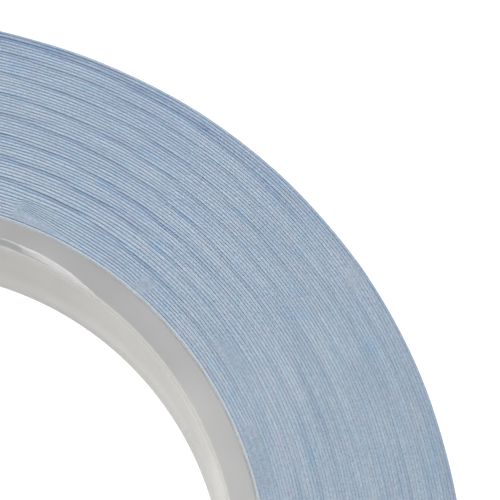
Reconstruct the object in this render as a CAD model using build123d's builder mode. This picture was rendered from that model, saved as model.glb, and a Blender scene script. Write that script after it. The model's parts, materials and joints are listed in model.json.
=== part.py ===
"""Reel of racket overgrips: thirty separate grip strips wound end to end on a plastic core ring.

The reel lies flat. The origin is the centre of its lower face, +Z runs up along the winding axis,
and the strips are wound anticlockwise, from the core outwards, as seen from above.
All lengths are in millimetres and all angles in degrees.
"""

from build123d import *
import math
import os

# Driving dimensions of the reel.
reel_width = 29.0  # width of the grip strip, of the core and so of the whole reel
grip_count = 30
grip_length = 1047.0  # one grip strip, laid out flat
grip_thickness = 0.45
layer_pitch = 0.513  # radial growth in one turn: a strip and the air between two layers
strip_end_gap = 0.3  # between the end of one strip and the start of the next

# The core ring, and the double-sided tape that holds the first strip on it.
core_bore_radius = 58.9
core_outer_radius = 63.6
core_edge_radius = 0.45
starter_tape_inset = 1.0  # how far the tape stays inside each face of the core
starter_tape_thickness = 0.19
layer_clearance = 0.01  # air between two things that are wound on each other

# Where the winding starts on the core, counted from +X.
winding_start_angle = 71.5
winding_start_radius = core_outer_radius + starter_tape_thickness + 2 * layer_clearance

# The free tail of the outermost strip, and the clear tape that closes the reel.
tail_length = 64.0
tail_root_gap = 0.7  # between the tail's root and the wound part of its strip
tail_clearance = 0.3  # air under everything that lifts off the reel
closure_length = 44.0
closure_width = 19.0
closure_thickness = 0.12
closure_on_tail = 20.0  # length of the closure tape that lies on the tail
closure_step = 2.5  # length in which the closure tape comes down from the tail to the reel


def half_turn(winding_angle):
    """Number of the half turn that this winding angle is in. Half turn 0 starts at +X."""
    return math.floor(winding_angle / 180)


def arc_centre(number):
    """Centre of a half turn. Two centres that take turns make a spiral out of true arcs."""
    side = -1 if number % 2 == 0 else 1
    return (side * layer_pitch / 4, 0)


def inner_radius(number):
    """Radius of the strip's inner face in a half turn, about that half turn's centre."""
    start_turns = winding_start_angle / 360
    radius_at_x_axis = winding_start_radius - start_turns * layer_pitch + layer_pitch / 4
    return radius_at_x_axis + number * layer_pitch / 2


def angle_after(winding_angle, length):
    """Winding angle reached by going this length further along the middle of the strip."""
    left = length
    while True:
        number = half_turn(winding_angle)
        radius = inner_radius(number) + grip_thickness / 2
        to_next_half = math.radians(180 * (number + 1) - winding_angle) * radius
        if left <= to_next_half:
            return winding_angle + math.degrees(left / radius)
        left -= to_next_half
        winding_angle = 180 * (number + 1)


def arcs_between(first_angle, last_angle):
    """The half turns from one winding angle to another, as (number, start angle, arc size)."""
    pieces = []
    for number in range(half_turn(first_angle), half_turn(last_angle - 1e-6) + 1):
        start = max(first_angle, 180 * number)
        end = min(last_angle, 180 * (number + 1))
        pieces.append((number, start, end - start))
    return pieces


def wound_strip(first_angle, last_angle):
    """Solid of a strip wound from one winding angle to another, one half turn after the other.

    The half turns keep their own faces, because turns that lie so close together in one face
    are hard to mesh.
    """
    with BuildPart() as strip:
        for number, start, size in arcs_between(first_angle, last_angle):
            with BuildSketch(Plane.XY):
                with BuildLine():
                    inner = CenterArc(arc_centre(number), inner_radius(number), start, size)
                    outer = CenterArc(
                        arc_centre(number), inner_radius(number) + grip_thickness, start, size
                    )
                    Line(inner @ 0, outer @ 0)
                    Line(inner @ 1, outer @ 1)
                make_face()
            extrude(amount=reel_width, clean=False)
    return strip.part


def save(part, name):
    """Labels a finished piece and writes it as one STEP file."""
    part.label = name
    export_step(part, f"parts/{name}.step")


os.makedirs("parts", exist_ok=True)

# Core ring: a slice of extruded tube with softened edges.
with BuildPart() as core_ring:
    with BuildSketch(Plane.XY):
        Circle(core_outer_radius)
        Circle(core_bore_radius, mode=Mode.SUBTRACT)
    extrude(amount=reel_width)
    fillet(core_ring.edges().filter_by(GeomType.CIRCLE), radius=core_edge_radius)
save(core_ring.part, "core_ring")

# Starter tape: one turn of thin double-sided tape round the core, a little inside its faces.
with BuildPart() as starter_tape:
    with BuildSketch(Plane.XY.offset(starter_tape_inset)):
        Circle(core_outer_radius + starter_tape_thickness)
        Circle(core_outer_radius + layer_clearance, mode=Mode.SUBTRACT)
    extrude(amount=reel_width - 2 * starter_tape_inset)
save(starter_tape.part, "starter_tape")

# Thirty grip strips, wound end to end. The last one is shorter by its free tail.
start_angle = winding_start_angle
for number in range(1, grip_count + 1):
    tail = tail_length + tail_root_gap if number == grip_count else 0
    end_angle = angle_after(start_angle, grip_length - strip_end_gap - tail)
    save(wound_strip(start_angle, end_angle), f"overgrip_{number:02d}")
    start_angle = angle_after(end_angle, strip_end_gap)

# Free tail of the last strip. It lies on the layer below with a little air, and lifts off
# about an upright line at its root, as the fabric bends there.
tail_number = half_turn(end_angle)
tail_centre = arc_centre(tail_number)
tail_inner = inner_radius(tail_number) + tail_clearance - (layer_pitch - grip_thickness)
tail_outer = tail_inner + grip_thickness
tail_start = angle_after(end_angle, tail_root_gap)
tail_end = angle_after(tail_start, tail_length)
with BuildPart() as outer_tail:
    with BuildSketch(Plane.XY):
        with BuildLine():
            inner_arc = CenterArc(tail_centre, tail_inner, tail_start, tail_end - tail_start)
            outer_arc = CenterArc(tail_centre, tail_outer, tail_start, tail_end - tail_start)
            Line(inner_arc @ 0, outer_arc @ 0)
            Line(inner_arc @ 1, outer_arc @ 1)
        make_face()
    extrude(amount=reel_width)
save(outer_tail.part, "outer_tail")

# Closure tape: clear tape that lies half on the tail and half on the reel beyond its end.
upper_inner = tail_outer + layer_clearance
upper_outer = upper_inner + closure_thickness
lower_outer = tail_inner + closure_thickness
degrees_per_mm = math.degrees(1 / tail_outer)
upper_start = tail_end - closure_on_tail * degrees_per_mm
upper_end = tail_end + 0.3 * degrees_per_mm
lower_start = upper_end + closure_step * degrees_per_mm
lower_end = upper_start + closure_length * degrees_per_mm
with BuildPart() as closure_tape:
    with BuildSketch(Plane.XY.offset((reel_width - closure_width) / 2)):
        with BuildLine():
            upper_in = CenterArc(tail_centre, upper_inner, upper_start, upper_end - upper_start)
            upper_out = CenterArc(tail_centre, upper_outer, upper_start, upper_end - upper_start)
            lower_in = CenterArc(tail_centre, tail_inner, lower_start, lower_end - lower_start)
            lower_out = CenterArc(tail_centre, lower_outer, lower_start, lower_end - lower_start)
            Line(upper_in @ 0, upper_out @ 0)
            Line(upper_in @ 1, lower_in @ 0)
            Line(upper_out @ 1, lower_out @ 0)
            Line(lower_in @ 1, lower_out @ 1)
        make_face()
    extrude(amount=closure_width)
save(closure_tape.part, "closure_tape")

hinge_point = inner_arc @ 0
print(f"winding ends at {tail_end:.2f} degrees, {(tail_end - winding_start_angle) / 360:.2f} turns")
print(f"tail root at x {hinge_point.X:.3f}, y {hinge_point.Y:.3f}; outer radius {tail_outer:.2f}")
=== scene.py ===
"""Looks of the overgrip reel: thirty wound fabric strips on a milky plastic core, in metres."""

import json
import math

import bpy
import numpy as np
from mathutils import Matrix, Vector


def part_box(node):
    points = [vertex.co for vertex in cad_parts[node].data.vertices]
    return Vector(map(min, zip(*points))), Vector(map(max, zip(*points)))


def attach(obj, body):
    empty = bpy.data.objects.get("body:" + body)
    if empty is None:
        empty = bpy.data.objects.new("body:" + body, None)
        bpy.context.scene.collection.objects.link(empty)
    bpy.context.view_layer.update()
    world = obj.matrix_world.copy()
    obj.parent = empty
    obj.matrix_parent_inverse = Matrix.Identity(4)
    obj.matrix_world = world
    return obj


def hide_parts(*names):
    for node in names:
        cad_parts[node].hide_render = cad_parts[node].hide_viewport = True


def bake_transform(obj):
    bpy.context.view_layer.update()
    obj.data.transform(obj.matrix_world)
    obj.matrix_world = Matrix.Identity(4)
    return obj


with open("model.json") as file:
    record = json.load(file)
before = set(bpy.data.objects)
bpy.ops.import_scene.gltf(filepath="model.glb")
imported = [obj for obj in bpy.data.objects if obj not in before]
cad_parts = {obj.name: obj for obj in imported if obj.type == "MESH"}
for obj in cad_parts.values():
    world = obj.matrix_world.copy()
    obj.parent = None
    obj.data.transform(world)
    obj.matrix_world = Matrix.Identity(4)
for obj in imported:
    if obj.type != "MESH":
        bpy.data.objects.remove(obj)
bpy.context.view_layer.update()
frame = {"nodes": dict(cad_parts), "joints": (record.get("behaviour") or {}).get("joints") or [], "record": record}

MM = 0.001

# The reel's own sizes, from the frame where it has them.
core_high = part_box("core_ring")[1]
starter_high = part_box("starter_tape")[1]
core_outer = core_high.x
reel_height = core_high.z
bore_mount = next(m for m in frame["record"]["mounts"] if m["name"] == "core_bore")
bore_radius = bore_mount["dims"]["r_mm"] * MM
grip_nodes = sorted(n for n in frame["nodes"] if n.startswith("overgrip_"))
hinge = next(j for j in frame["joints"] if j["name"] == "tail_peel")
hinge_point = Vector(hinge["pos_m"])

# The winding, anticlockwise and outwards. Angles are azimuths in degrees from +X. Places along the
# winding are counted in turns from the lap angle, and heights above the core in layers.
grip_length = 1047 * MM
grip_thickness = 0.45 * MM
layer_pitch = 0.513 * MM
layer_count = 62
most_turns = 66  # a few more than the winding has
strip_end_gap = 0.03 * MM
start_angle = 71.5
lap_angle = 84.0  # here the first strip's end is tucked in, and the inner turns step up over it
lap_rise = 0.008  # share of an inner turn in which it steps up
lap_growth = 1.3  # by which that share grows with each turn from the fourth one on
start_radius = starter_high.x + 0.01 * MM
rubbed_radius = start_radius + 58.8 * layer_pitch  # from here outwards handling has darkened the turns

# The free tail of the last strip.
tail_air = 0.12 * MM
loosening = 8 * MM  # length in which the tail comes away from the turn below

# The cut edges of the turns. Open edges add the second value to the first one.
closed_gap = 0.004 * MM
open_gap = 0.09 * MM
most_gap = 0.3  # share of a layer
closed_corner = 0.02 * MM
open_corner = 0.19 * MM
most_corner = 0.46  # share of a strip's thickness
rim_inset = 0.02 * MM  # how far the edges stay inside the reel's faces
streak_depth = 0.26 * MM
overlap = 0.003 * MM  # how far neighbouring turns press into each other halfway up

# Random unevenness of the cut edges: the turns from one random value to the next, and the spread.
slow_wander = (0.37, 0.03 * MM)
quick_wander = (0.06, 0.02 * MM)
rng = np.random.default_rng(7)


# ---------------------------------------------------------------- camera

def make_camera():
    """The camera, close above the reel and tilted a little, so that a quarter of it is in view."""
    camera = bpy.data.objects.new("camera", bpy.data.cameras.new("camera"))
    bpy.context.scene.collection.objects.link(camera)
    tilt = math.radians(15.45)
    turn = math.radians(-4.53)
    beside_axis = 38.9 * MM
    before_axis = 23.2 * MM
    above_reel = 282.4 * MM
    place = Matrix.Translation((beside_axis, -before_axis, reel_height + above_reel))
    camera.matrix_world = place @ Matrix.Rotation(tilt, 4, "X") @ Matrix.Rotation(turn, 4, "Y")
    camera.data.sensor_width = 36
    camera.data.lens = 125.6
    camera.data.clip_start = 0.01
    camera.data.clip_end = 20
    bpy.context.scene.camera = camera


make_camera()


# ---------------------------------------------------------------- mesh helpers

def new_object(name, points, quads, caps=(), flat_rims=False, shares=None):
    """Mesh object from arrays: quads as rows of four indices, caps as lists of indices.

    Faces are smooth, apart from caps, and level faces on a piece with flat rims. Shares are values
    of the points, which the material reads by their names.
    """
    level = 0.97  # a face is level if its normal is at least this upright
    mesh = bpy.data.meshes.new(name)
    faces = [tuple(q) for q in quads.tolist()] + [tuple(c) for c in caps]
    mesh.from_pydata(points.tolist(), [], faces)
    mesh.update()
    normals = np.zeros(len(mesh.polygons) * 3, np.float32)
    mesh.polygons.foreach_get("normal", normals)
    flat = (np.abs(normals[2::3]) > level) & flat_rims
    flat[len(quads):] = True
    mesh.polygons.foreach_set("use_smooth", ~flat)
    for share_name, values in (shares or {}).items():
        attribute = mesh.attributes.new(share_name, "FLOAT", "POINT")
        attribute.data.foreach_set("value", values.astype(np.float32))
    mesh.update()
    thing = bpy.data.objects.new(name, mesh)
    bpy.context.scene.collection.objects.link(thing)
    return thing


def tube_quads(sections, ring):
    """Quads that join each section of ring points to the next one."""
    along = np.arange(sections - 1)[:, None] * ring
    here = np.arange(ring)[None, :]
    there = (here + 1) % ring
    quads = np.stack([along + here, along + ring + here, along + ring + there, along + there], -1)
    return quads.reshape(-1, 4)


# ---------------------------------------------------------------- the winding

def turns_after(length):
    """Turns past the lap angle that a strip of this length reaches from the winding's start."""
    middle = start_radius + grip_thickness / 2
    turns = (math.sqrt(middle**2 + layer_pitch * length / math.pi) - middle) / layer_pitch
    return max(turns - (lap_angle - start_angle) / 360, 0)


def smooth(x):
    """Smooth step from 0 to 1."""
    x = np.clip(x, 0, 1)
    return x * x * (3 - 2 * x)


def beyond(distance, width):
    """Smooth step of this width, which is halfway where the distance is 0."""
    return smooth(distance / width + 0.5)


def layers_up(turns):
    """Height above the core in layers. Inner turns lie flat and step up at the lap angle."""
    whole = np.floor(turns)
    rise_share = np.minimum(lap_rise * lap_growth ** np.clip(whole - 2, 0, None), 1)
    rise = np.clip((turns - whole - 1 + rise_share) / rise_share, 0, 1)
    return whole + rise


def folded_end(azimuth, height, edge, base, top, reach, squeeze):
    """Heights of the turns round a folded strip end, which thins out clockwise from its edge."""
    thinning = np.clip(1 - (edge - azimuth) / reach, 0, 1) ** 2
    share = squeeze * thinning * beyond(edge - azimuth, 0.9)
    over_fold = height + (top - height) * share
    fold = base + (height - base) * (1 + (top - base - 1) * share)
    bent = np.where(height < base + 1, fold, over_fold)
    return np.where((height > base) & (height < top), bent, height)


def offset_step(azimuth, height, edge, low, middle, high, down, up, reach):
    """Heights of the turns that drop before a step and come out of it again higher."""
    rising = np.clip((height - low) / (middle - low), 0, 1)
    falling = np.clip((high - height) / (high - middle), 0, 1)
    before = -down * np.exp(-np.clip(azimuth - edge, 0, None) / reach)
    after = up * np.exp(-np.clip(edge - azimuth, 0, None) / reach)
    crossing = beyond(azimuth - edge, 0.8)
    return height + smooth(np.minimum(rising, falling)) * (after + (before - after) * crossing)


def settled(azimuth, height):
    """Heights of the turns with every fold and step in the winding."""
    height = folded_end(azimuth, height, edge=69.4, base=1.0, top=8.5, reach=13.0, squeeze=0.5)
    height = offset_step(
        azimuth, height, edge=48.1, low=0.9, middle=4.0, high=7.6, down=1.0, up=0.8, reach=1.3
    )
    height = offset_step(
        azimuth, height, edge=22.0, low=0.6, middle=3.4, high=6.8, down=-0.7, up=0.7, reach=3.0
    )
    return offset_step(
        azimuth, height, edge=32.2, low=53.5, middle=58.5, high=64.0, down=0.6, up=0.6, reach=0.6
    )


# Places where the cut edges are felted together, so that no lines show between the turns: left and
# right azimuth, lowest and highest layer, lean in degrees a layer, and how far the lines are gone.
FELTED = (
    (70.1, 68.8, 1.0, 6.6, 0.0, 0.95),
    (67.0, 63.0, 5.4, 7.8, 0.0, 0.5),
    (49.4, 47.0, 0.9, 7.2, -0.15, 0.85),
    (36.3, 31.0, 7.0, 12.6, -0.35, 0.85),
    (31.5, 24.0, 7.6, 12.8, 0.0, 0.45),
    (22.3, 12.8, 0.9, 6.7, 0.0, 0.95),
    (32.4, 30.4, 54.2, 62.8, 0.155, 0.95),
)


def openness(azimuth, height):
    """How open the lines between the cut edges are, from 0 to 1. The sides have the finest lines."""
    least = 0.2
    most_open = 85  # and opposite
    blur = 1.1
    layer_blur = 0.6
    off_sides = 0.5 + 0.5 * np.cos(np.radians(2 * (azimuth - most_open)))
    share = least + (1 - least) * off_sides ** 1.6
    for left, right, low, high, lean, gone in FELTED:
        shift = lean * (height - low)
        inside = beyond(left + shift - azimuth, blur) * beyond(azimuth - right - shift, blur)
        inside = inside * beyond(height - low, layer_blur) * beyond(high - height, layer_blur)
        share = share * (1 - gone * inside)
    return share


# Ripples that run through a few layers: millimetres, cycles in a turn, drift in radians a layer,
# and phase.
RIPPLES = (
    (0.030, 31, 1.1, 0.0),
    (0.026, 47, -0.8, 1.0),
    (0.016, 83, 1.9, 2.0),
)


def waviness(azimuth, height):
    """Radial waviness of the turns, in metres: waves, one bulge above the lap, and ripples."""
    # The sizes are in millimetres until the end.
    a = np.radians(azimuth)
    outwards = np.clip(height / layer_count, 0, 1)
    wave = 0.09 * np.cos(5 * a - 2.44) + 0.03 * np.sin(13 * a + 2.1) + 0.02 * np.sin(29 * a + 4.0)
    bulge = 0.3 * np.exp(-((azimuth % 360 - 82) / 6) ** 2) * outwards ** 2
    ripple = 0
    for size, cycles, drift, phase in RIPPLES:
        ripple = ripple + size * np.sin(cycles * a + drift * height + phase)
    ripple = ripple * smooth((height - 1) / 8) * smooth((layer_count - 2 - height) / 8)
    return MM * (wave * outwards ** 1.5 + bulge + ripple)


def streaks(azimuth, height):
    """How much a turn belongs to one of the slanting dark streaks, from 0 to 1.

    Most of them lie evenly spaced, and climb by one spacing from azimuth 24 to 82. One more lies
    near the outside and climbs evenly.
    """
    spacing = 7
    first_height = 5.9
    phase = (height - first_height) / spacing - smooth((azimuth - 24) / 58)
    near = np.abs(phase - np.round(phase)) * spacing
    strength = 0.36 + 0.5 * smooth((azimuth - 28) / 30) * smooth((190 - azimuth) / 60)
    fading = 1.1 - height / 180
    regular = strength * fading * smooth((height - 5.0) / 1.5) * smooth((0.9 - near) / 0.65)
    away = np.abs(height - 56.1 - 0.115 * (azimuth - 42))
    outer = smooth((azimuth - 33.2) / 14) * smooth((110 - azimuth) / 25)
    return np.maximum(regular, smooth((1.0 - away) / 0.6) * outer)


def section(inner, outer, low, top, corner, swell):
    """Ring points (radius, z) of a strip's cross-section. The arrays go along the strip.

    Halfway up, the strip swells on both faces, so that it touches the turns beside it.
    """
    halfway = (low + top) / 2
    steps = 3
    points = []
    for side, rim, outward, upward in (
        (outer, top, 1, 1), (inner, top, -1, 1), (inner, low, -1, -1), (outer, low, 1, -1)
    ):
        for step in range(steps + 1):
            share = step / steps if outward == upward else 1 - step / steps
            angle = share * math.pi / 2
            radius = side - outward * corner * (1 - math.cos(angle))
            points.append((radius, rim - upward * corner * (1 - math.sin(angle))))
        if outward != upward:
            points.append((side + outward * swell, halfway))
    return np.stack([p[0] for p in points], 1), np.stack([p[1] for p in points], 1)


# Where folds and steps bend the turns: fewest and most turns, and lowest and highest azimuth.
BENT_PLACES = ((0, 14, 10, 80), (53, most_turns, 26, 35))


def sample_turns(first, last):
    """Turns along a strip, closer together where folds and steps bend them."""
    fine = 0.2 / 360
    coarse = 1.0 / 360
    marks = [first]
    while marks[-1] < last:
        here = marks[-1]
        azimuth = (lap_angle + 360 * here) % 360
        bent = any(low <= here < high and right < azimuth < left for low, high, right, left in BENT_PLACES)
        marks.append(here + (fine if bent else coarse))
    marks[-1] = last
    return np.array(marks)


def wander(turns, spacing, spread):
    """Random wander along the winding, in metres, from values a share of a turn apart."""
    knots = np.arange(0, most_turns, spacing)
    return np.interp(turns, knots, rng.normal(0, spread, len(knots)))


def strip_arrays(first, last, loose=0.0):
    """Points, quads, caps and shares of a wound strip between two counts of turns.

    A loose strip comes away from the turn below by this much. Where a fold widens the layers, their
    edges are pressed together.
    """
    turns = sample_turns(first, last)
    azimuth = lap_angle + 360 * turns
    local = azimuth % 360
    under = layers_up(turns)
    lower = settled(local, under)
    upper = settled(local, layers_up(turns + 1))
    share = openness(local, (lower + upper) / 2) * np.clip(2.1 - (upper - lower), 0.1, 1)
    layer = (upper - lower) * layer_pitch
    gap = np.minimum(closed_gap + open_gap * share, layer * most_gap)
    base = start_radius + loose * smooth((turns - first) * 2 * math.pi * start_radius / loosening)
    inner = base + layer_pitch * lower + waviness(local, under) + gap / 2
    outer = base + layer_pitch * upper + waviness(local, layers_up(turns + 1)) - gap / 2
    corner = np.minimum(closed_corner + open_corner * share, (outer - inner) * most_corner)
    uneven = np.abs(wander(turns, *slow_wander)) + np.abs(wander(turns, *quick_wander))
    streak = streaks(local, under)
    top = reel_height - rim_inset - uneven * share - streak_depth * streak
    low = rim_inset + np.abs(wander(turns, *slow_wander))
    radius, z = section(inner, outer, low, top, corner, gap / 2 + overlap)
    angle = np.radians(azimuth)[:, None]
    points = np.stack([radius * np.cos(angle), radius * np.sin(angle), z], -1)
    sections, ring = radius.shape
    caps = [list(range(ring)), list(range((sections - 1) * ring, sections * ring))[::-1]]
    shares = {"open_share": np.repeat(share, ring), "streak_share": np.repeat(streak, ring)}
    return points.reshape(-1, 3), tube_quads(sections, ring), caps, shares


# ---------------------------------------------------------------- materials

def start_material(name):
    """New material with its node tree and Principled shader."""
    material = bpy.data.materials.new(name)
    material.use_nodes = True
    tree = material.node_tree
    return material, tree, tree.nodes["Principled BSDF"]


def math_node(tree, operation, first, second=None):
    """Math node on sockets or numbers. Returns its output."""
    node = tree.nodes.new("ShaderNodeMath")
    node.operation = operation
    for slot, value in enumerate((first, second)):
        if value is None:
            continue
        if isinstance(value, (int, float)):
            node.inputs[slot].default_value = value
        else:
            tree.links.new(value, node.inputs[slot])
    return node.outputs[0]


def scaled(tree, value, factor):
    """Product of a socket and a number or another socket."""
    return math_node(tree, "MULTIPLY", value, factor)


def coordinates(tree):
    """The object's own coordinates, as one vector and as x, y and z."""
    place = tree.nodes.new("ShaderNodeTexCoord").outputs["Object"]
    split = tree.nodes.new("ShaderNodeSeparateXYZ")
    tree.links.new(place, split.inputs[0])
    return place, *split.outputs


def radius_of(tree, x, y):
    """Distance from the reel's axis."""
    return math_node(tree, "SQRT", math_node(tree, "ADD", scaled(tree, x, x), scaled(tree, y, y)))


def winding_space(tree, along, across, upwards):
    """Coordinates with their own scales round the reel, from layer to layer and upwards, without a seam."""
    _, x, y, z = coordinates(tree)
    depth = math_node(
        tree, "ADD", scaled(tree, radius_of(tree, x, y), across), scaled(tree, z, upwards)
    )
    join = tree.nodes.new("ShaderNodeCombineXYZ")
    tree.links.new(scaled(tree, x, along), join.inputs[0])
    tree.links.new(scaled(tree, y, along), join.inputs[1])
    tree.links.new(depth, join.inputs[2])
    return join.outputs[0]


def noise(tree, vector, scale, detail=2.0, roughness=0.5):
    """Noise texture's value."""
    node = tree.nodes.new("ShaderNodeTexNoise")
    node.inputs["Scale"].default_value = scale
    node.inputs["Detail"].default_value = detail
    node.inputs["Roughness"].default_value = roughness
    tree.links.new(vector, node.inputs["Vector"])
    return node.outputs["Fac"]


def ramp(tree, value, stops):
    """Colour ramp through (position, colour) stops."""
    node = tree.nodes.new("ShaderNodeValToRGB")
    node.color_ramp.interpolation = "EASE"
    while len(node.color_ramp.elements) < len(stops):
        node.color_ramp.elements.new(0.5)
    for element, (position, colour) in zip(node.color_ramp.elements, stops):
        element.position = position
        element.color = (*colour, 1)
    tree.links.new(value, node.inputs[0])
    return node.outputs["Color"]


def mix(tree, kind, share, first, second):
    """Colour mix of two sockets."""
    node = tree.nodes.new("ShaderNodeMix")
    node.data_type = "RGBA"
    node.blend_type = kind
    if isinstance(share, (int, float)):
        node.inputs["Factor"].default_value = share
    else:
        tree.links.new(share, node.inputs["Factor"])
    tree.links.new(first, node.inputs["A"])
    tree.links.new(second, node.inputs["B"])
    return node.outputs["Result"]


def product(tree, colour, *others):
    """Colours multiplied with each other."""
    for other in others:
        colour = mix(tree, "MULTIPLY", 1.0, colour, other)
    return colour


def grey(level):
    """Grey of this level."""
    return (level, level, level)


def bump(tree, shader, value, strength, distance):
    """Bump from a value into the shader's normal."""
    node = tree.nodes.new("ShaderNodeBump")
    node.inputs["Strength"].default_value = strength
    node.inputs["Distance"].default_value = distance
    tree.links.new(value, node.inputs["Height"])
    tree.links.new(node.outputs[0], shader.inputs["Normal"])


def step_at(tree, value, start, end):
    """Share of the way that a value has gone from start to end, from 0 to 1."""
    node = tree.nodes.new("ShaderNodeMapRange")
    node.interpolation_type = "SMOOTHSTEP"
    tree.links.new(value, node.inputs["Value"])
    node.inputs["From Min"].default_value = start
    node.inputs["From Max"].default_value = end
    return node.outputs["Result"]


def point_share(tree, name):
    """Value that the mesh's points carry under this name."""
    node = tree.nodes.new("ShaderNodeAttribute")
    node.attribute_name = name
    return node.outputs["Fac"]


def make_fabric():
    """Dry light-blue non-woven strip, with cloudy dye and felted fibres.

    Where the cut edges are closed, as where they are felted together, the colour is a little darker:
    painted shade. The turns of the slanting streaks are darker too, painted shade of their recessed
    tops, and so are the turns that have been handled. The inner edge of the first turn is paler and
    greyer.
    """
    material, tree, shader = start_material("grip_fabric")
    place, x, y, _ = coordinates(tree)
    radius = radius_of(tree, x, y)
    cloudy = noise(tree, winding_space(tree, 70, 420, 60), 1.0, 3.0, 0.6)
    dye = ramp(tree, cloudy, (
        (0.30, (0.51, 0.62, 0.76)),
        (0.50, (0.55, 0.66, 0.78)),
        (0.70, (0.60, 0.69, 0.79)),
    ))
    layer_tone = noise(tree, winding_space(tree, 45, 1900, 25), 1.0, 1.0)
    tone = ramp(tree, layer_tone, ((0.25, (0.84, 0.86, 0.89)), (0.75, grey(1.0))))
    fibre = noise(tree, place, 2600, 4.0, 0.7)
    felt = ramp(tree, fibre, ((0.30, (0.76, 0.77, 0.79)), (0.70, grey(1.03))))
    hue = noise(tree, winding_space(tree, 260, 1500, 300), 1.0, 2.0, 0.6)
    tints = ramp(tree, hue, (
        (0.30, (0.90, 0.98, 1.02)),
        (0.50, grey(1.0)),
        (0.70, (1.01, 0.96, 0.99)),
    ))
    # Darker where the cut edges are closed: painted shade.
    closed_edge_shade = ramp(tree, point_share(tree, "open_share"), (
        (0.0, (0.80, 0.80, 0.79)),
        (0.2, (0.86, 0.86, 0.855)),
        (1.0, grey(1.0)),
    ))
    # Turns in the slanting streaks are darker: painted shade of their recessed tops.
    streak = ramp(tree, point_share(tree, "streak_share"), ((0.0, grey(1.0)), (1.0, (0.78, 0.82, 0.88))))
    blotches = noise(tree, winding_space(tree, 190, 330, 120), 1.0, 1.0, 0.5)
    sky = ramp(tree, blotches, ((0.62, grey(1.0)), (0.80, (0.90, 0.98, 1.03))))
    rubbed = step_at(tree, radius, rubbed_radius - 0.6 * MM, rubbed_radius + 0.6 * MM)
    handled = ramp(tree, rubbed, ((0.0, (0.97, 0.97, 0.975)), (1.0, (0.88, 0.90, 0.93))))
    dyed = mix(tree, "MULTIPLY", 0.8, dye, tone)
    colour = product(tree, dyed, felt, tints, closed_edge_shade, streak, sky, handled)
    # Paler, greyer colour of the first turn's inner edge.
    pale_inner_edge = ramp(tree, fibre, ((0.3, (0.485, 0.53, 0.57)), (0.7, (0.565, 0.61, 0.64))))
    first_turn = step_at(tree, radius, start_radius + 0.42 * MM, start_radius + 0.30 * MM)
    tree.links.new(mix(tree, "MIX", first_turn, colour, pale_inner_edge), shader.inputs["Base Color"])
    roughness = math_node(tree, "ADD", scaled(tree, fibre, 0.2), 0.72)
    tree.links.new(roughness, shader.inputs["Roughness"])
    shader.inputs["Specular IOR Level"].default_value = 0.25
    shader.inputs["Sheen Weight"].default_value = 0.15
    bump(tree, shader, fibre, 0.4, 0.05 * MM)
    return material


def plastic_colour(tree, place, z, outwards, across):
    """Colour of the core: its wall, the pale upper edge of that wall, and the greyer cut face.

    The wall is warmer than the face, painted light through the milky plastic. Its pale upper edge
    is painted light on the rounding. The wall gets paler upwards: painted shade lower in the bore and
    painted light near the rim. Wall and face both get paler to the right in the main view, a painted
    light gradient.
    """
    milky = noise(tree, place, 38, 2.0, 0.5)
    # Milky clouds plus a painted light gradient, paler towards +x and -y.
    milky_and_painted_light = math_node(tree, "ADD", milky, scaled(tree, across, 2.4))
    cut_face = ramp(tree, milky_and_painted_light, ((0.3, grey(0.382)), (0.7, (0.505, 0.504, 0.50))))
    # The wall's warmer tint: painted light through the milky plastic.
    cloudy = ramp(tree, milky, ((0.3, (0.319, 0.307, 0.276)), (0.7, (0.354, 0.341, 0.306))))
    # Wall paler towards +x and -y: painted light.
    sideways = step_at(tree, across, -26 * MM, 18 * MM)
    sideways_painted_light = ramp(tree, sideways, ((0.0, grey(0.93)), (1.0, (1.10, 1.085, 1.075))))
    # Wall darker further down the bore: painted shade. Paler at the top: painted light.
    height = step_at(tree, z, reel_height - 20 * MM, reel_height)
    painted_bore_shade = ramp(tree, height, (
        (0.0, grey(0.89)),
        (0.65, grey(0.985)),
        (0.9, grey(1.0)),
        (1.0, grey(1.05)),
    ))
    wall = product(tree, cloudy, sideways_painted_light, painted_bore_shade)
    # Paler rounded upper edge of the wall: painted light.
    edge = ramp(tree, milky, ((0.3, (0.55, 0.54, 0.515)), (0.7, (0.60, 0.59, 0.565))))
    painted_rim_light = step_at(tree, z, reel_height - 1.8 * MM, reel_height - 0.2 * MM)
    return mix(tree, "MIX", outwards, mix(tree, "MIX", painted_rim_light, wall, edge), cut_face)


def plastic_roughness(tree, z, outwards, grain):
    """Roughness of the core: a grained shiny wall, a soft edge, a glossy cut and a dull level face."""
    level = step_at(tree, z, reel_height - 0.05 * MM, reel_height - 0.01 * MM)
    rounding = step_at(tree, z, reel_height - 1.0 * MM, reel_height - 0.5 * MM)
    shine = math_node(tree, "ADD", scaled(tree, grain, 0.22), 0.11)
    duller = math_node(tree, "ADD", shine, scaled(tree, level, 0.36))
    softer = math_node(tree, "ADD", duller, scaled(tree, rounding, 0.2))
    return math_node(tree, "SUBTRACT", softer, scaled(tree, outwards, 0.3))


def make_plastic():
    """Milky natural plastic of the core, cut from extruded tube."""
    material, tree, shader = start_material("core_plastic")
    place, x, y, z = coordinates(tree)
    outwards = step_at(tree, radius_of(tree, x, y), bore_radius + 0.42 * MM, bore_radius + 0.6 * MM)
    grain = noise(tree, winding_space(tree, 60, 900, 20), 1.0, 3.0, 0.6)
    # x - y: the direction of the painted light gradient on the core.
    across = math_node(tree, "SUBTRACT", x, y)
    tree.links.new(plastic_colour(tree, place, z, outwards, across), shader.inputs["Base Color"])
    tree.links.new(plastic_roughness(tree, z, outwards, grain), shader.inputs["Roughness"])
    shader.inputs["Subsurface Weight"].default_value = 0.35
    shader.inputs["Subsurface Radius"].default_value = (1.0, 0.95, 0.85)
    shader.inputs["Subsurface Scale"].default_value = 2.5 * MM
    shader.inputs["Specular IOR Level"].default_value = 0.45
    bump(tree, shader, grain, 0.2, 0.05 * MM)
    return material


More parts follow.
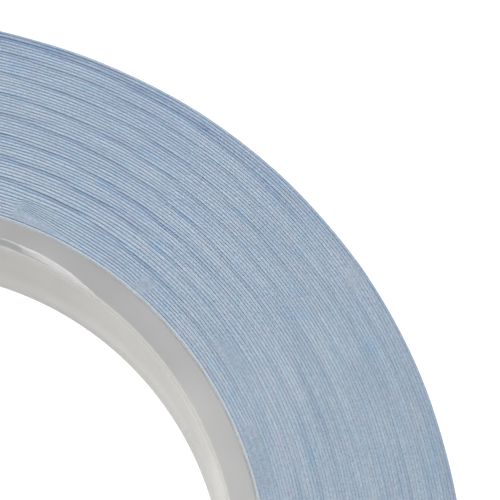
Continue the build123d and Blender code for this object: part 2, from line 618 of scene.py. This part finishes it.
def make_starter():
    """Pale double-sided tape between the core and the first turn."""
    material, tree, shader = start_material("starter_film")
    patches = noise(tree, coordinates(tree)[0], 260, 2.0)
    colour = ramp(tree, patches, ((0.3, (0.47, 0.50, 0.52)), (0.7, (0.57, 0.59, 0.60))))
    tree.links.new(colour, shader.inputs["Base Color"])
    shader.inputs["Roughness"].default_value = 0.5
    bump(tree, shader, patches, 0.2, 0.05 * MM)
    return material


def make_clear_film():
    """Clear adhesive film of the closure tape, with faint ripples and trapped air."""
    material, tree, shader = start_material("clear_film")
    air = noise(tree, coordinates(tree)[0], 420, 3.0, 0.6)
    colour = ramp(tree, air, ((0.35, (0.86, 0.87, 0.86)), (0.7, (0.93, 0.93, 0.92))))
    tree.links.new(colour, shader.inputs["Base Color"])
    shader.inputs["Roughness"].default_value = 0.12
    shader.inputs["Alpha"].default_value = 0.15
    shader.inputs["Coat Weight"].default_value = 0.6
    bump(tree, shader, air, 0.15, 0.05 * MM)
    return material


fabric = make_fabric()
plastic = make_plastic()
starter_film = make_starter()
clear_film = make_clear_film()


# ---------------------------------------------------------------- strips

# The tail's end, and its root, which is at the hinge on the same turn.
tail_turns = turns_after(len(grip_nodes) * grip_length)
hinge_azimuth = math.degrees(math.atan2(hinge_point.y, hinge_point.x))
root_turns = tail_turns - (tail_turns - (hinge_azimuth - lap_angle) / 360) % 1


def make_strips():
    """One wound piece for each overgrip, end to end. The last one stops at its tail's root."""
    for number, node in enumerate(grip_nodes):
        first = turns_after(number * grip_length)
        if number + 1 < len(grip_nodes):
            last = turns_after((number + 1) * grip_length - strip_end_gap)
        else:
            last = root_turns
        points, quads, caps, shares = strip_arrays(first, last)
        piece = new_object(node + "_strip", points, quads, caps, True, shares)
        piece.data.materials.append(fabric)
        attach(piece, "reel")
        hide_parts(node)


def make_tail():
    """Free tail of the last strip, which comes away from the turn below at its root."""
    points, quads, caps, shares = strip_arrays(root_turns, tail_turns, tail_air)
    piece = new_object("outer_tail_strip", points, quads, caps, True, shares)
    piece.data.materials.append(fabric)
    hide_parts("outer_tail")
    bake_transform(piece)


make_strips()
make_tail()


# ---------------------------------------------------------------- core and tapes

def revolved(name, profile, segments=720):
    """Closed ring from a profile function of azimuth in degrees, which gives (radius, z) points."""
    azimuths = np.arange(segments) * 360 / segments
    rings = np.array([profile(a) for a in azimuths])
    radius, z = rings[..., 0], rings[..., 1]
    angle = np.radians(azimuths)[:, None]
    points = np.stack([radius * np.cos(angle), radius * np.sin(angle), z], -1)
    ring = rings.shape[1]
    here = np.arange(segments)[:, None] * ring
    there = (np.arange(segments)[:, None] + 1) % segments * ring
    around = np.arange(ring)[None, :]
    after = (around + 1) % ring
    quads = np.stack([here + around, here + after, there + after, there + around], -1).reshape(-1, 4)
    return new_object(name, points.reshape(-1, 3), quads)


def pared_share(azimuth):
    """How far a knife has pared the core's upper inner edge, from 0 to 1."""
    begins = 51.3
    widening = 13.5
    widest_until = 110
    fading = 14
    if azimuth > widest_until:
        return math.exp((widest_until - azimuth) / fading)
    return math.sin(math.pi / 2 * float(np.clip((azimuth - begins) / widening, 0, 1)))


def corner_points(radius, z, size, first_angle, count):
    """Points of a clockwise quarter round, about its centre. The last of five points ends it."""
    angles = [math.radians(first_angle - 22.5 * step) for step in range(count)]
    return [(radius + size * math.cos(angle), z + size * math.sin(angle)) for angle in angles]


def flat_points(start, end):
    """Points near both ends of a straight stretch, which keep the shading's bends narrow."""
    return [tuple(a + (b - a) * share for a, b in zip(start, end)) for share in (0.06, 0.94)]


def heel_points(start, end):
    """Points of the rounding from the bore's wall, which is upright, to the pared slope."""
    turn = math.radians(60)
    steps = 6
    points = []
    for step in range(steps + 1):
        angle = step / steps * turn
        across = (1 - math.cos(angle)) / (1 - math.cos(turn))
        up = math.sin(angle) / math.sin(turn)
        points.append((start[0] + (end[0] - start[0]) * across, start[1] + (end[1] - start[1]) * up))
    return points


def core_profile(azimuth):
    """Section of the core: up the bore, over the pared edge, down the outside and back below.

    The pared edge has two slopes, which meet at a knee. The lower one levels out a little where
    the knife has turned.
    """
    pared = pared_share(azimuth)
    turned = float(smooth((azimuth - 66.3) / 2.0)) * pared
    upper_slope = math.tan(math.radians(27))
    lower_slope = math.tan(math.radians(24.2 - 8.7 * turned))
    edge_radius = bore_radius + (0.43 + 1.27 * pared) * MM
    heel_radius = bore_radius + (0.40 + 0.17 * pared) * MM
    heel_height = 0.40 * MM
    pared_width = edge_radius - heel_radius
    knee_radius = edge_radius - min(max(0.35 * MM, 0.3 * pared_width), 0.92 * pared_width)
    knee_z = reel_height - (edge_radius - knee_radius) * upper_slope
    heel_z = knee_z - (knee_radius - heel_radius) * lower_slope
    wall_z = heel_z - heel_height
    small = 0.12 * MM  # radius of the other three corners
    edge = (edge_radius, reel_height)
    knee = (knee_radius, knee_z)
    heel = (heel_radius, heel_z)
    points = [
        (bore_radius, small),
        (bore_radius, reel_height * 0.5),
        (bore_radius, wall_z - 1.0 * MM),
        (bore_radius, wall_z - 0.1 * MM),
    ]
    points += heel_points((bore_radius, wall_z), heel)
    points += flat_points(heel, knee)
    points += flat_points(knee, edge)
    points += [edge, (edge_radius + 0.04 * MM, reel_height), (edge_radius + 0.3 * MM, reel_height)]
    points += corner_points(core_outer - small, reel_height - small, small, 90, 5)
    points += corner_points(core_outer - small, small, small, 0, 5)
    points += corner_points(bore_radius + small, small, small, -90, 4)
    return points


def make_core():
    """Core ring with softened edges."""
    piece = revolved("core_ring_moulded", core_profile)
    piece.data.materials.append(plastic)
    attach(piece, "reel")
    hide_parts("core_ring")


def starter_profile(azimuth):
    """Section of the starter tape, whose upper edge shows as a thin pale line."""
    inner = core_outer + 0.005 * MM
    outer = start_radius - 0.005 * MM
    angle = math.radians(azimuth)
    uneven = 0.02 * MM * (math.sin(angle * 23) + math.sin(angle * 41))
    top = reel_height - 0.06 * MM + uneven
    low = 0.2 * MM
    crown = 0.05 * MM
    middle = (inner + outer) / 2
    return [
        (inner, low), (inner, top - crown), (middle, top), (outer, top - crown),
        (outer, low), (middle, low - crown),
    ]


def make_starter_tape():
    """Starter tape round the core."""
    piece = revolved("starter_tape_band", starter_profile)
    piece.data.materials.append(starter_film)
    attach(piece, "reel")
    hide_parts("starter_tape")


def make_closure_tape():
    """Clear tape over the tail's end, half on the tail and half on the reel beyond."""
    low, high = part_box("closure_tape")
    rows, columns = 90, 14
    length_on_tail = 20 * MM
    length_on_reel = 24 * MM
    step_length = 2.6 * MM
    air_on_tail = 0.24 * MM
    air_on_reel = 0.2 * MM
    film_thickness = 0.08 * MM
    ripple = 0.03 * MM
    tail_end = math.radians(lap_angle + 360 * tail_turns)
    radius_there = start_radius + layer_pitch * float(layers_up(np.array([tail_turns]))[0])
    on_tail = radius_there + grip_thickness + air_on_tail
    on_reel = radius_there + air_on_reel
    along, up = np.meshgrid(
        np.linspace(-length_on_tail, length_on_reel, rows), np.linspace(0, 1, columns), indexing="ij"
    )
    radius = on_tail + (on_reel - on_tail) * smooth(along / step_length)
    radius = radius + ripple * np.sin(along * 900 + up * 5) * np.sin(up * 9 + 1)
    angle = tail_end + along / on_tail
    z = low.z + (high.z - low.z) * up
    points = np.stack([radius * np.cos(angle), radius * np.sin(angle), z], -1).reshape(-1, 3)
    index = np.arange(rows * columns).reshape(rows, columns)
    quads = np.stack([index[:-1, :-1], index[1:, :-1], index[1:, 1:], index[:-1, 1:]], -1).reshape(-1, 4)
    piece = new_object("closure_tape_film", points, quads)
    solid = piece.modifiers.new("thickness", "SOLIDIFY")
    solid.thickness = film_thickness
    solid.offset = 1
    piece.data.materials.append(clear_film)
    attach(piece, "tail")
    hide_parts("closure_tape")


make_core()
make_starter_tape()
make_closure_tape()


# ---------------------------------------------------------------- floor and light

def make_floor():
    """Plain pale floor that glows a little, as a lit sheet of white does."""
    half = 4.0
    points = np.array([(-half, -half, 0), (half, -half, 0), (half, half, 0), (-half, half, 0)])
    floor = new_object("floor", points, np.array([[0, 1, 2, 3]]))
    material, tree, shader = start_material("floor_white")
    cloudy = noise(tree, coordinates(tree)[0], 3.0)
    colour = ramp(tree, cloudy, ((0.3, grey(0.19)), (0.7, grey(0.2))))
    glow = ramp(tree, cloudy, ((0.3, grey(0.97)), (0.7, grey(0.98))))
    tree.links.new(colour, shader.inputs["Base Color"])
    tree.links.new(glow, shader.inputs["Emission Color"])
    shader.inputs["Emission Strength"].default_value = 1.0
    shader.inputs["Roughness"].default_value = 0.9
    floor.data.materials.append(material)


def make_world():
    """Soft studio surround: bright near the horizon and dimmer overhead."""
    world = bpy.data.worlds.new("studio")
    world.use_nodes = True
    bpy.context.scene.world = world
    tree = world.node_tree
    place = tree.nodes.new("ShaderNodeTexCoord").outputs["Generated"]
    split = tree.nodes.new("ShaderNodeSeparateXYZ")
    tree.links.new(place, split.inputs[0])
    glow = ramp(tree, split.outputs[2], ((0.0, grey(1.0)), (0.75, (0.62, 0.62, 0.63))))
    background = tree.nodes["Background"]
    tree.links.new(glow, background.inputs["Color"])
    background.inputs["Strength"].default_value = 0.45


def add_softbox(name, azimuth, elevation, distance, width, height, power):
    """Soft light in a direction from the reel's middle, in degrees and metres, and aimed at it."""
    light = bpy.data.lights.new(name, "AREA")
    light.shape = "RECTANGLE"
    light.size = width
    light.size_y = height
    light.energy = power
    lamp = bpy.data.objects.new(name, light)
    level = math.cos(math.radians(elevation))
    towards = Vector((
        level * math.cos(math.radians(azimuth)),
        level * math.sin(math.radians(azimuth)),
        math.sin(math.radians(elevation)),
    ))
    lamp.location = towards * distance
    lamp.rotation_euler = (-towards).to_track_quat("-Z", "Y").to_euler()
    bpy.context.scene.collection.objects.link(lamp)


make_floor()
make_world()
add_softbox("front_softbox", 228, 51.5, distance=1.0, width=0.56, height=0.16, power=2.8)
add_softbox("left_softbox", 193, 34, distance=1.0, width=0.5, height=0.5, power=1.5)
add_softbox("back_softbox", 103, 27, distance=1.1, width=0.5, height=0.5, power=3.7)
add_softbox("near_softbox", 48, 60, distance=0.20, width=0.04, height=0.04, power=0.08)
bpy.context.scene.view_settings.view_transform = "Standard"
